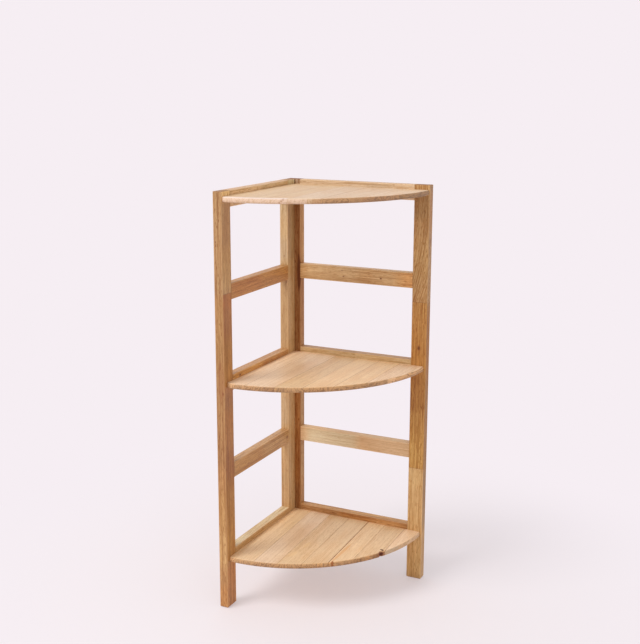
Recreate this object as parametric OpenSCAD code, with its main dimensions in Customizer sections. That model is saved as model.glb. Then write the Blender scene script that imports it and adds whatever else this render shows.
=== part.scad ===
// Free-standing corner rack: two ladder frames at a right angle carry three
// quarter-round shelves, each glued up from straight boards.
// The frames are doweled, screwed together at the back corner, and screwed to the shelves.
// The front legs are glued up from shorter lengths with finger joints.

/* [Frames] */
// Height of the rack, which is the length of all four uprights
height = 900; // [700:10:1200]
// Reach of the left frame, from the inner corner to its front edge
left_reach = 315.5; // [250:0.5:420]
// Reach of the right frame, from the inner corner to its front edge
right_reach = 322.5; // [250:0.5:420]
// Thickness of every upright and rail
stock_thick = 20; // [16:0.5:26]
// Width of each front leg, along its frame
leg_w = 35; // [28:0.5:45]
// Width of the left frame's back post, along its frame
left_post_w = 32.5; // [28:0.5:42]
// Width of the right frame's back post, along its frame
right_post_w = 34.5; // [28:0.5:42]
// Height of each rail
rail_h = 33.5; // [28:0.5:42]
// Rounding of the long edges of uprights and rails
edge_round = 1.2; // [0.4:0.1:2.5]
// Bevel round the foot of each upright
foot_bevel = 2.4; // [1:0.2:4]
// Bevel round the top of each upright
top_bevel = 0.8; // [0.4:0.1:2]

/* [Finger joints] */
// Length of the left front leg's upper piece, down to its finger joint
left_leg_upper_len = 209; // [150:1:300]
// Length of the right front leg's upper piece, down to its finger joint
right_leg_upper_len = 254; // [150:1:300]
// Length of the right front leg's lower piece, up to its finger joint
right_leg_lower_len = 266; // [150:1:300]
// Length of the fingers
finger_len = 10; // [6:0.5:15]
// Number of fingers across the thickness of the leg
finger_count = 5; // [3:1:6]
// Width of each finger's blunt tip
finger_tip = 0.8; // [0.4:0.1:1.4]

/* [Shelves] */
// Height of the bottom shelf's upper face above the floor
bottom_shelf_z = 116; // [90:1:200]
// Thickness of each shelf
shelf_thick = 11; // [9:0.5:16]
// Height of the bottom rails above the bottom shelf
bottom_lip = 13; // [6:0.5:20]
// Height of the middle rails above the middle shelf
middle_lip = 12; // [6:0.5:20]
// Height of the top rails above the top shelf
top_lip = 10; // [6:0.5:18]
// Setback of the bottom and middle shelves' rim from the left frame's front edge
rim_setback_left = 9; // [0:0.5:40]
// Setback of the bottom and middle shelves' rim from the right frame's front edge
rim_setback_right = 4.5; // [0:0.5:40]
// Setback of the top shelf's rim from the left frame's front edge
top_rim_setback_left = 0.5; // [0:0.5:40]
// Setback of the top shelf's rim from the right frame's front edge
top_rim_setback_right = 1.5; // [0:0.5:40]
// Rise of the rim's curve over the straight line between its ends, as a share of
// that line: a quarter circle has 0.207
rim_fullness = 0.206; // [0.19:0.0005:0.23]
// Rounding of the rim's upper edge
rim_round_upper = 3; // [1:0.5:4]
// Rounding of the rim's lower edge
rim_round_lower = 2; // [1:0.5:4]
// Bevel along the seams between boards
seam_bevel = 0.4; // [0.2:0.1:1]
// Share of the width that each board of the bottom shelf takes, from the left frame outwards
bottom_board_shares = [43, 50, 49, 49, 42, 48, 37];
// Share of the width that each board of the middle shelf takes, from the left frame outwards
middle_board_shares = [44, 62, 54, 52, 50, 56];
// Share of the width that each board of the top shelf takes, from the left frame outwards
top_board_shares = [40, 44, 43, 58, 63, 73];
// Angle of the bottom shelf's seams to the left frame, outwards
bottom_seam_lean = 2.6; // [-4:0.1:4]
// Angle of the middle shelf's seams to the left frame, outwards
middle_seam_lean = -0.6; // [-4:0.1:4]
// Angle of the top shelf's seams to the left frame, outwards
top_seam_lean = 1.2; // [-4:0.1:4]

/* [Dowels] */
// Diameter of the dowels between rails and uprights
dowel_d = 8; // [6:0.5:10]
// Length of each dowel, half in the rail and half in the upright
dowel_len = 40; // [30:2:44]
// Distance between the two dowels of one joint
dowel_spacing = 17; // [12:0.5:18]
// Spare depth for glue at each end of a dowel
glue_space = 0.8; // [0.2:0.1:0.9]

/* [Screws] */
// Shank diameter of every screw
screw_d = 4; // [3:0.5:5]
// Head diameter of every screw
head_d = 7.8; // [6:0.2:9.6]
// Length of the screws that hold the shelves
shelf_screw_len = 38; // [30:1:45]
// Length of the screws that hold the two frames together
corner_screw_len = 45; // [35:1:48]
// Distance of the shelf screws from the ends of the rail
screw_inset = 60; // [40:5:90]
// Depth of each head below the face of the wood
head_set = 0.4; // [0.1:0.1:1]
// Width of the slots of the cross recess
recess_w = 1.1; // [0.8:0.1:1.4]

/* [Fits] */
// Radial clearance of dowels and screws in their bores
bore_gap = 0.05; // [0.02:0.01:0.2]

/* [Hidden] */
$fn = 48;
rim_facets = 240;
eps = 1;

frame_wood = [0.70, 0.50, 0.34];
post_wood = [0.62, 0.43, 0.28];
shelf_wood = [0.84, 0.69, 0.54];
dowel_wood = [0.88, 0.78, 0.60];
screw_steel = [0.72, 0.72, 0.70];

// Names of the rails, from the lowest to the highest
RAIL_NAMES = ["bottom_rail", "lower_brace", "middle_rail", "upper_brace", "top_rail"];
TOP_LEVEL = len(RAIL_NAMES) - 1;
// Names of the shelves, from the lowest to the highest; shelf s sits on rail level 2 s
SHELF_NAMES = ["bottom_shelf", "middle_shelf", "top_shelf"];
SHARES = [bottom_board_shares, middle_board_shares, top_board_shares];
LEANS = [bottom_seam_lean, middle_seam_lean, top_seam_lean];
LIPS = [bottom_lip, middle_lip, top_lip];
SHELVES = [0 : len(SHELF_NAMES) - 1];
RAIL_LEVELS = [0 : TOP_LEVEL];

// Heights. The rails stand at one pitch, but the top rail is flush with the uprights.
bottom_rail_top = bottom_shelf_z + bottom_lip;
rail_pitch = (height - top_lip - bottom_shelf_z) / TOP_LEVEL;
function rail_top(level) = level < TOP_LEVEL ? bottom_rail_top + level * rail_pitch : height;
function rail_middle(level) = rail_top(level) - rail_h / 2;
function shelf_top(s) = rail_top(2 * s) - LIPS[s];
function shelf_middle(s) = shelf_top(s) - shelf_thick / 2;
left_joint_z = height - left_leg_upper_len;
right_upper_joint_z = height - right_leg_upper_len;
right_lower_joint_z = right_leg_lower_len;

// Rim of shelf s: the arc through its end on the left frame, [0, -left_end], and its
// end on the right frame, [right_end, 0]
function is_top(s) = s == len(SHELF_NAMES) - 1;
function left_end(s) = left_reach - (is_top(s) ? top_rim_setback_left : rim_setback_left);
function right_end(s) = right_reach - (is_top(s) ? top_rim_setback_right : rim_setback_right);
function rim_chord(s) = norm([left_end(s), right_end(s)]);
function rim_rise(s) = rim_fullness * rim_chord(s);
function rim_r(s) = (pow(rim_chord(s) / 2, 2) + pow(rim_rise(s), 2)) / (2 * rim_rise(s));
function rim_centre(s) =
    [right_end(s), -left_end(s)] / 2
    - [left_end(s), -right_end(s)] / rim_chord(s) * (rim_r(s) - rim_rise(s));

// Plan. The frames' inner faces meet at x = 0, y = 0, and the right frame runs
// on behind the left one, which butts on its back post.
left_rail_front = -left_reach + leg_w;
left_rail_back = -left_post_w;
right_rail_front = right_reach - leg_w;
right_rail_back = right_post_w - stock_thick;
mid_thick = stock_thick / 2;
centre_x = (right_reach - stock_thick) / 2;
centre_y = (stock_thick - left_reach) / 2;

// Height of a screw's countersunk head
head_h = (head_d - screw_d) / 2;

function sum_to(list, n) = n == 0 ? 0 : list[n - 1] + sum_to(list, n - 1);
function seam_x(s, n) =
    (rim_centre(s).x + rim_r(s)) * sum_to(SHARES[s], n) / sum_to(SHARES[s], len(SHARES[s]));

// Stands the inner corner where the whole rack is centred over the origin
module placed() {
    translate([-centre_x, -centre_y, 0]) children();
}

// Cross-section with rounded corners, from the origin to [w, t]
module rounded_section(w, t) {
    r = edge_round;
    translate([r, 0]) square([w - 2 * r, t]);
    translate([0, r]) square([w, t - 2 * r]);
    for (x = [r, w - r], y = [r, t - r]) {
        translate([x, y]) circle(r);
    }
}

// Face of width w and height h, bevelled at the foot and at the top
module bevelled_face(w, h) {
    polygon([
        [foot_bevel, 0], [w - foot_bevel, 0], [w, foot_bevel], [w, h - top_bevel],
        [w - top_bevel, h], [top_bevel, h], [0, h - top_bevel], [0, foot_bevel]
    ]);
}

// Upright of section [w, t], from the origin
module upright(w, t) {
    intersection() {
        linear_extrude(height) rounded_section(w, t);
        translate([0, t + eps, 0]) rotate([90, 0, 0])
            linear_extrude(t + 2 * eps) bevelled_face(w, height);
        translate([-eps, 0, 0]) rotate([90, 0, 90])
            linear_extrude(w + 2 * eps) bevelled_face(t, height);
    }
}

// Everything below the finger joint at height z: thickness across, height up
module below_fingers(z) {
    pitch = stock_thick / finger_count;
    half_tip = finger_tip / 2;
    polygon(concat(
        [[-eps, -eps], [-eps, z], [half_tip, z]],
        [for (i = [1 : finger_count]) each [
            [(i - 0.5) * pitch - half_tip, z - finger_len],
            [(i - 0.5) * pitch + half_tip, z - finger_len],
            [i * pitch - half_tip, z],
            [i * pitch + (i < finger_count ? half_tip : eps), z]
        ]],
        [[stock_thick + eps, -eps]]
    ));
}

// The same region as a solid, across a leg of the left frame and of the right frame
module below_left_joint(z) {
    translate([-stock_thick, -left_reach + leg_w + eps, 0]) rotate([90, 0, 0])
        linear_extrude(leg_w + 2 * eps) below_fingers(z);
}

module below_right_joint(z) {
    translate([right_reach - leg_w - eps, 0, 0]) rotate([90, 0, 90])
        linear_extrude(leg_w + 2 * eps) below_fingers(z);
}

// Left rail, between its front leg and its back post
module left_bar(level) {
    translate([-stock_thick, left_rail_back, rail_top(level) - rail_h])
        rotate([90, 0, 0])
            linear_extrude(left_rail_back - left_rail_front)
                rounded_section(stock_thick, rail_h);
}

// Right rail, between its back post and its front leg
module right_bar(level) {
    translate([right_rail_back, 0, rail_top(level) - rail_h])
        rotate([90, 0, 90])
            linear_extrude(right_rail_front - right_rail_back)
                rounded_section(stock_thick, rail_h);
}

// Dowel centred on the origin, along Z, with bevelled ends
module dowel() {
    bevel = dowel_d / 8;
    cylinder(h = dowel_len - 2 * bevel, d = dowel_d, center = true);
    for (side = [0, 1]) mirror([0, 0, side])
        translate([0, 0, dowel_len / 2 - bevel])
            cylinder(h = bevel, d1 = dowel_d, d2 = dowel_d - 2 * bevel);
}

// Bore for one dowel
module dowel_bore() {
    cylinder(h = dowel_len + 2 * glue_space, d = dowel_d + 2 * bore_gap, center = true);
}

// Puts its children at both dowels of each joint of the left frame at one level
module at_left_joints(level, ends = [left_rail_front, left_rail_back]) {
    for (y = ends, side = [-1, 1])
        translate([-mid_thick, y, rail_middle(level) + side * dowel_spacing / 2])
            rotate([90, 0, 0]) children();
}

// Puts its children at both dowels of each joint of the right frame at one level
module at_right_joints(level, ends = [right_rail_front, right_rail_back]) {
    for (x = ends, side = [-1, 1])
        translate([x, mid_thick, rail_middle(level) + side * dowel_spacing / 2])
            rotate([0, 90, 0]) children();
}

// Countersunk screw from the top of its head at the origin, along +Z
module screw(length) {
    tip = screw_d / 2;
    recess_len = head_d * 0.55;
    recess_depth = head_h;
    difference() {
        union() {
            cylinder(h = head_h, d1 = head_d, d2 = screw_d);
            cylinder(h = length - tip, d = screw_d);
            translate([0, 0, length - tip]) cylinder(h = tip, d1 = screw_d, d2 = 0.4);
        }
        for (turn = [0, 90]) rotate([0, 0, turn])
            translate([-recess_len / 2, -recess_w / 2, -eps])
                cube([recess_len, recess_w, recess_depth + eps]);
    }
}

// Bore and countersink for a screw whose head lies head_set below the face at the origin
module screw_bore(length) {
    gap = bore_gap;
    cylinder(h = head_set + length + glue_space, d = screw_d + 2 * gap);
    translate([0, 0, head_set + gap]) cylinder(h = head_h, d1 = head_d + 2 * gap, d2 = screw_d + 2 * gap);
    translate([0, 0, -eps]) cylinder(h = eps + head_set + gap, d = head_d + 2 * gap);
}

// Puts its children at the shelf screws of the left frame, pointing into the shelf
module at_left_shelf_screws(s) {
    for (y = [left_rail_front + screw_inset, left_rail_back - screw_inset])
        translate([-stock_thick, y, shelf_middle(s)]) rotate([0, 90, 0]) children();
}

// Puts its children at the shelf screws of the right frame, pointing into the shelf
module at_right_shelf_screws(s) {
    for (x = [right_rail_front - screw_inset, right_rail_back + screw_inset])
        translate([x, stock_thick, shelf_middle(s)]) rotate([90, 0, 0]) children();
}

// Puts its children at the corner screws, one between each two rails, pointing forwards
module at_corner_screws() {
    for (level = [0 : TOP_LEVEL - 1])
        translate([-mid_thick, stock_thick, (rail_top(level) + rail_top(level + 1) - rail_h) / 2])
            rotate([90, 0, 0]) children();
}

// Whole front legs, before they are cut into their lengths
module left_leg_stock() {
    difference() {
        translate([-stock_thick, -left_reach, 0]) upright(stock_thick, leg_w);
        for (level = RAIL_LEVELS) at_left_joints(level, [left_rail_front]) dowel_bore();
    }
}

module right_leg_stock() {
    difference() {
        translate([right_rail_front, 0, 0]) upright(leg_w, stock_thick);
        for (level = RAIL_LEVELS) at_right_joints(level, [right_rail_front]) dowel_bore();
    }
}

module left_front_leg_lower() {
    color(frame_wood) placed() intersection() {
        left_leg_stock();
        below_left_joint(left_joint_z);
    }
}

module left_front_leg_upper() {
    color(frame_wood) placed() difference() {
        left_leg_stock();
        below_left_joint(left_joint_z);
    }
}

module right_front_leg_lower() {
    color(frame_wood) placed() intersection() {
        right_leg_stock();
        below_right_joint(right_lower_joint_z);
    }
}

module right_front_leg_middle() {
    color(frame_wood) placed() difference() {
        intersection() {
            right_leg_stock();
            below_right_joint(right_upper_joint_z);
        }
        below_right_joint(right_lower_joint_z);
    }
}

module right_front_leg_upper() {
    color(frame_wood) placed() difference() {
        right_leg_stock();
        below_right_joint(right_upper_joint_z);
    }
}

module left_back_post() {
    color(post_wood) placed() difference() {
        translate([-stock_thick, -left_post_w, 0]) upright(stock_thick, left_post_w);
        for (level = RAIL_LEVELS) at_left_joints(level, [left_rail_back]) dowel_bore();
        at_corner_screws() screw_bore(corner_screw_len);
    }
}

module right_back_post() {
    color(post_wood) placed() difference() {
        translate([-stock_thick, 0, 0]) upright(right_post_w, stock_thick);
        for (level = RAIL_LEVELS) at_right_joints(level, [right_rail_back]) dowel_bore();
        at_corner_screws() screw_bore(corner_screw_len);
    }
}

// Rails at even levels carry a shelf, and its screws go through them
module left_rail(level) {
    color(frame_wood) placed() difference() {
        left_bar(level);
        at_left_joints(level) dowel_bore();
        if (level % 2 == 0) at_left_shelf_screws(level / 2) screw_bore(shelf_screw_len);
    }
}

module right_rail(level) {
    color(frame_wood) placed() difference() {
        right_bar(level);
        at_right_joints(level) dowel_bore();
        if (level % 2 == 0) at_right_shelf_screws(level / 2) screw_bore(shelf_screw_len);
    }
}

// Half outline of a shelf's disc: radius across, thickness up, with a rounded rim
module rim_profile(r) {
    half = shelf_thick / 2;
    square([r - rim_round_lower, half]);
    translate([0, half]) square([r - rim_round_upper, half]);
    translate([0, rim_round_lower])
        square([r, shelf_thick - rim_round_lower - rim_round_upper]);
    translate([r - rim_round_lower, rim_round_lower]) circle(rim_round_lower);
    translate([r - rim_round_upper, shelf_thick - rim_round_upper]) circle(rim_round_upper);
}

// Section of a board of width w, bevelled along its four long edges
module board_section(w) {
    bevel = seam_bevel;
    high = shelf_thick;
    polygon([
        [bevel, 0], [w - bevel, 0], [w, bevel], [w, high - bevel],
        [w - bevel, high], [bevel, high], [0, high - bevel], [0, bevel]
    ]);
}

// Bar of width w and length 2 w, bevelled along its long edges, to the right of the Y axis
module wide_bar(w) {
    translate([0, w, 0]) rotate([90, 0, 0]) linear_extrude(2 * w) board_section(w);
}

// Puts its children along seam n of shelf s. Seam 0 is the side on the left frame, and
// the last one lies clear of the shelf's tip.
module at_seam(s, n) {
    clear = n == len(SHARES[s]) ? eps : 0;
    translate([seam_x(s, n) + clear, 0, 0]) rotate([0, 0, n == 0 ? 0 : LEANS[s]]) children();
}

// Board b of shelf s: the part of the quarter disc between two seams
module shelf_board(s, b) {
    reach = 2 * rim_r(s);
    color(shelf_wood) placed() difference() {
        translate([0, 0, shelf_top(s) - shelf_thick]) intersection() {
            translate(rim_centre(s))
                rotate_extrude($fn = rim_facets) intersection() {
                    rim_profile(rim_r(s));
                    square([rim_r(s) + eps, shelf_thick]);
                }
            translate([0, -reach, 0]) cube([reach, reach, shelf_thick]);
            at_seam(s, b - 1) wide_bar(reach);
            at_seam(s, b) translate([-reach, 0, 0]) wide_bar(reach);
        }
        at_left_shelf_screws(s) screw_bore(shelf_screw_len);
        at_right_shelf_screws(s) screw_bore(shelf_screw_len);
    }
}

module left_frame_dowels() {
    color(dowel_wood) placed() for (level = RAIL_LEVELS) at_left_joints(level) dowel();
}

module right_frame_dowels() {
    color(dowel_wood) placed() for (level = RAIL_LEVELS) at_right_joints(level) dowel();
}

module left_shelf_screws() {
    color(screw_steel) placed() for (s = SHELVES)
        at_left_shelf_screws(s) translate([0, 0, head_set]) screw(shelf_screw_len);
}

module right_shelf_screws() {
    color(screw_steel) placed() for (s = SHELVES)
        at_right_shelf_screws(s) translate([0, 0, head_set]) screw(shelf_screw_len);
}

module corner_screws() {
    color(screw_steel) placed()
        at_corner_screws() translate([0, 0, head_set]) screw(corner_screw_len);
}

left_front_leg_lower();
left_front_leg_upper();
right_front_leg_lower();
right_front_leg_middle();
right_front_leg_upper();
left_back_post();
right_back_post();
for (level = RAIL_LEVELS) {
    left_rail(level);
    right_rail(level);
}
for (s = SHELVES, b = [1 : len(SHARES[s])]) {
    shelf_board(s, b);
}
left_frame_dowels();
right_frame_dowels();
left_shelf_screws();
right_shelf_screws();
corner_screws();
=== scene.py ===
"""Corner rack: two ladder frames and three quarter-round shelves of glued boards, in lacquered wood."""
import math
import random

import bmesh
import bpy
from mathutils import Matrix, Vector, noise


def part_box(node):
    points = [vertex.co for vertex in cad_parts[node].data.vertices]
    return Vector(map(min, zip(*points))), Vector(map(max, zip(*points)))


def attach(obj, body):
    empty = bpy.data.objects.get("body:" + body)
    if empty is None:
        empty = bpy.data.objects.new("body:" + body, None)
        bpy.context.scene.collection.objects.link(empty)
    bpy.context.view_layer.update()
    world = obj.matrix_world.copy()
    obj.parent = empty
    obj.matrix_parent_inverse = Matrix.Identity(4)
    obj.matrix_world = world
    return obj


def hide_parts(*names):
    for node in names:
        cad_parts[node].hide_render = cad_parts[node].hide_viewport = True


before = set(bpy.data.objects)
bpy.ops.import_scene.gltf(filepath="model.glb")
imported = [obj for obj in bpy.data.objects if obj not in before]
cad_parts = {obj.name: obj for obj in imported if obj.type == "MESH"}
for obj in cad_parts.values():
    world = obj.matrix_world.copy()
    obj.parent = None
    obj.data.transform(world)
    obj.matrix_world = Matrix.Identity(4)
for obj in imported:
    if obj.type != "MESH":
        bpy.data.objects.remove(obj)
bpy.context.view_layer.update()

MM = 0.001


def srgb(red, green, blue):
    """Linear colour of an 8-bit display colour."""
    def channel(value):
        share = value / 255
        return share / 12.92 if share <= 0.04045 else ((share + 0.055) / 1.055) ** 2.4
    return (channel(red), channel(green), channel(blue), 1.0)


# Camera, solved from the rack's straight edges, measured from the back corner of the frames
CAMERA_FROM_CORNER = Vector((1123.0, -2159.7, 1119.2)) * MM
CAMERA_YAW = math.radians(26.16)
CAMERA_PITCH = math.radians(-12.67)
CAMERA_ROLL = math.radians(0.13)
FOCAL_PX = 1082.9
CENTRE_PX = (319.0, 322.0)
IMAGE_W, IMAGE_H = 640, 644
SENSOR_MM = 36.0


def back_corner():
    """Where the inner faces of the two frames meet, on the floor."""
    left_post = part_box("left_back_post")[1]
    return Vector((left_post.x, left_post.y, 0))


corner = back_corner()


def make_camera():
    long_side = max(IMAGE_W, IMAGE_H)
    data = bpy.data.cameras.new("camera")
    data.sensor_fit = "AUTO"
    data.sensor_width = SENSOR_MM
    data.lens = FOCAL_PX * SENSOR_MM / long_side
    data.shift_x = (IMAGE_W / 2 - CENTRE_PX[0]) / long_side
    data.shift_y = (CENTRE_PX[1] - IMAGE_H / 2) / long_side
    data.clip_end = 50
    camera = bpy.data.objects.new("camera", data)
    bpy.context.scene.collection.objects.link(camera)
    turn = Matrix.Rotation(CAMERA_YAW, 4, "Z")
    tilt = Matrix.Rotation(math.radians(90) + CAMERA_PITCH, 4, "X")
    roll = Matrix.Rotation(CAMERA_ROLL, 4, "Z")
    place = Matrix.Translation(corner + CAMERA_FROM_CORNER)
    camera.matrix_world = place @ turn @ tilt @ roll
    bpy.context.scene.camera = camera


class Graph:
    """Short ways to add and join the nodes of one material."""

    def __init__(self, tree):
        self.tree = tree

    def add(self, kind, **settings):
        node = self.tree.nodes.new(kind)
        for name, value in settings.items():
            setattr(node, name, value)
        return node

    def join(self, source, socket):
        """Links another node's output to a socket, or sets the socket to a plain value."""
        if isinstance(source, bpy.types.NodeSocket):
            self.tree.links.new(source, socket)
        else:
            socket.default_value = source

    def math(self, operation, *values):
        node = self.add("ShaderNodeMath", operation=operation)
        for value, socket in zip(values, node.inputs):
            self.join(value, socket)
        return node.outputs[0]

    def vector(self, operation, *values):
        node = self.add("ShaderNodeVectorMath", operation=operation)
        for value, socket in zip(values, node.inputs):
            self.join(value, socket)
        return node.outputs["Value" if operation == "LENGTH" else "Vector"]

    def combine(self, x, y, z):
        node = self.add("ShaderNodeCombineXYZ")
        for value, socket in zip((x, y, z), node.inputs):
            self.join(value, socket)
        return node.outputs[0]

    def noise(self, vector, detail=2.0, roughness=0.5):
        """Noise whose features are about one unit of the vector wide."""
        node = self.add("ShaderNodeTexNoise")
        self.join(vector, node.inputs["Vector"])
        node.inputs["Scale"].default_value = 1.0
        node.inputs["Detail"].default_value = detail
        node.inputs["Roughness"].default_value = roughness
        return node.outputs[0]

    def ramp(self, value, stops):
        """A colour or grey for each value, from stops of a place and a colour or grey."""
        node = self.add("ShaderNodeValToRGB")
        elements = node.color_ramp.elements
        while len(elements) < len(stops):
            elements.new(0.5)
        for element, (place, colour) in zip(elements, stops):
            element.position = place
            element.color = colour if isinstance(colour, tuple) else (colour, colour, colour, 1)
        self.join(value, node.inputs[0])
        return node.outputs[0]

    def mix(self, factor, first, second, blend="MIX"):
        node = self.add("ShaderNodeMix", data_type="RGBA", blend_type=blend, clamp_factor=True)
        self.join(factor, node.inputs["Factor"])
        self.join(first, node.inputs["A"])
        self.join(second, node.inputs["B"])
        return node.outputs["Result"]

    def remap(self, value, low, high, new_low=0.0, new_high=1.0):
        """Eases from new_low to new_high while a value goes from low to high."""
        node = self.add("ShaderNodeMapRange", interpolation_type="SMOOTHSTEP", clamp=True)
        for number, socket in zip((value, low, high, new_low, new_high), node.inputs):
            self.join(number, socket)
        return node.outputs[0]

    def looked_at(self):
        """1 for what the camera sees, straight, in a shine or through glass, and 0 for light elsewhere."""
        path = self.add("ShaderNodeLightPath")
        seen = self.math("MAXIMUM", path.outputs["Is Camera Ray"], path.outputs["Is Glossy Ray"])
        return self.math("MAXIMUM", seen, path.outputs["Is Transmission Ray"])


def tinted(colour, tint):
    """A colour whose red, green and blue are multiplied by a tint's."""
    return (colour[0] * tint[0], colour[1] * tint[1], colour[2] * tint[2], 1.0)


# Mean tone of each kind of stick and board
TONES = {
    "umber": srgb(150, 103, 62),
    "russet": srgb(171, 121, 65),
    "chestnut": srgb(170, 122, 74),
    "honey": srgb(174, 132, 86),
    "amber": srgb(183, 137, 88),
    "oat": srgb(193, 152, 104),
    "straw": srgb(208, 172, 130),
    "birch": srgb(219, 186, 144),
    "bone": srgb(220, 190, 156),
}

# How a side of a piece can differ from the piece's mean tone, through its wood and through painted light
# and shade
TINTS = {
    "paler": (1.11, 1.17, 1.20),
    "whiter": (1.12, 1.30, 1.50),
    "brighter": (1.30, 1.27, 1.12),
    "yellower": (1.10, 1.10, 0.97),
    "redder": (1.04, 0.93, 0.78),
    "darker": (0.90, 0.90, 0.88),
    "dim": (0.77, 0.75, 0.70),
    "lighter": (1.10, 1.12, 1.08),
    "creamier": (1.15, 1.27, 1.33),
    "milkier": (1.03, 1.11, 1.25),
    "greyer": (0.89, 0.92, 1.04),
    "duller": (0.93, 0.97, 0.98),
    "rusty": (0.87, 0.80, 0.66),
    "warmer": (0.98, 0.95, 0.84),
    "cooler": (1.01, 1.05, 1.18),
    "fresher": (1.03, 1.07, 1.03),
    "rosier": (1.10, 0.97, 0.93),
}

# Knots, stains, resin, glue and bark
KNOT_RIM = srgb(146, 84, 46)
GUM = srgb(146, 80, 34)
RESIN = srgb(222, 160, 96)
FLAME = srgb(238, 202, 148)
KNOT_HEART = srgb(84, 34, 12)
STAIN = srgb(88, 46, 24)
SEAM_GLUE = srgb(150, 88, 48)
BARK = srgb(98, 50, 22)

# Tints of the lighter and darker parts of end grain
END_TINTS = {
    "brown": ((0.65, 0.48, 0.33), (0.31, 0.19, 0.10)),
    "cream": ((1.02, 1.06, 1.40), (0.86, 0.82, 0.92)),
    "tan": ((0.98, 1.00, 1.28), (0.80, 0.74, 0.80)),
}
# How strongly the rim above each kind of end grain is worn pale and given a painted highlight,
# and how far inwards, in millimetres
RIM_WEAR_AND_HIGHLIGHTS = {"brown": (0.12, 4.0), "cream": (1.2, 12.0), "tan": (0.6, 7.0)}

# How the parts of the figure differ from the piece's mean tone
EARLY_WOOD = (1.12, 1.15, 1.20)
LATE_WOOD = (0.84, 0.77, 0.66)
DARK_WOOD = (0.65, 0.48, 0.28)
RUDDY_WOOD = (1.03, 0.90, 0.76)
PALE_WOOD = (1.22, 1.30, 1.42)
# Worn end grain with a painted highlight, on the rounding of cream rims
CREAM_WEAR_AND_HIGHLIGHT = (1.22, 1.40, 2.10)
# How far fine fibres lower and raise the red, green and blue
FIBRE_DEPTH = (0.08, 0.15, 0.26)

# Growth rings, in millimetres: their gap, how far off their pith lies, and how far they sway
RING_GAP = (4.0, 6.5)
PITH_AWAY = (40, 90)
RING_SWAY = 26

# In millimetres: half widths of the glue lines, and of the fades at the ends of patches and rim spans
JOINT_LINE = 0.8
SEAM_LINE = 0.9
PATCH_FADE = 15
SPAN_FADE = 1
# Darkness of a finger joint's glue line
JOINT_SHARE = 0.45

# Length of a knot for its width, and how frayed knots and streaks are
KNOT_STRETCH = 1.6
KNOT_FRAY = 0.8
STREAK_FRAY = 0.4

# How strongly the arrises of the sticks are worn pale and carry a painted highlight: near them, and on
# their rounding
ARRIS_WEAR_AND_HIGHLIGHT = 0.6
ROUNDING_WEAR_AND_HIGHLIGHT = 0.5

# Clear lacquer over the wood
COAT = 0.10
COAT_ROUGHNESS = 0.30

# Roughness of the fibres, and what pores, end grain and matt stains add to it
FIBRE_ROUGHNESS = (0.42, 0.56)
PORE_ROUGHNESS = 0.12
END_ROUGHNESS = 0.15
MATT_ROUGHNESS = 0.35

# Strength of the fibres' relief, and its height in millimetres
RELIEF_STRENGTH = 0.22
RELIEF_HEIGHT = 0.25

# Painted shade on the lower part of a shelf's rim, which faces away from the light above
LOWER_RIM_PAINTED_SHADE = (0.84, 0.80, 0.78)

# The two axes across the grain, and the one along it
ACROSS = {"X": ("Y", "Z", "X"), "Y": ("X", "Z", "Y"), "Z": ("X", "Y", "Z")}


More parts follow.
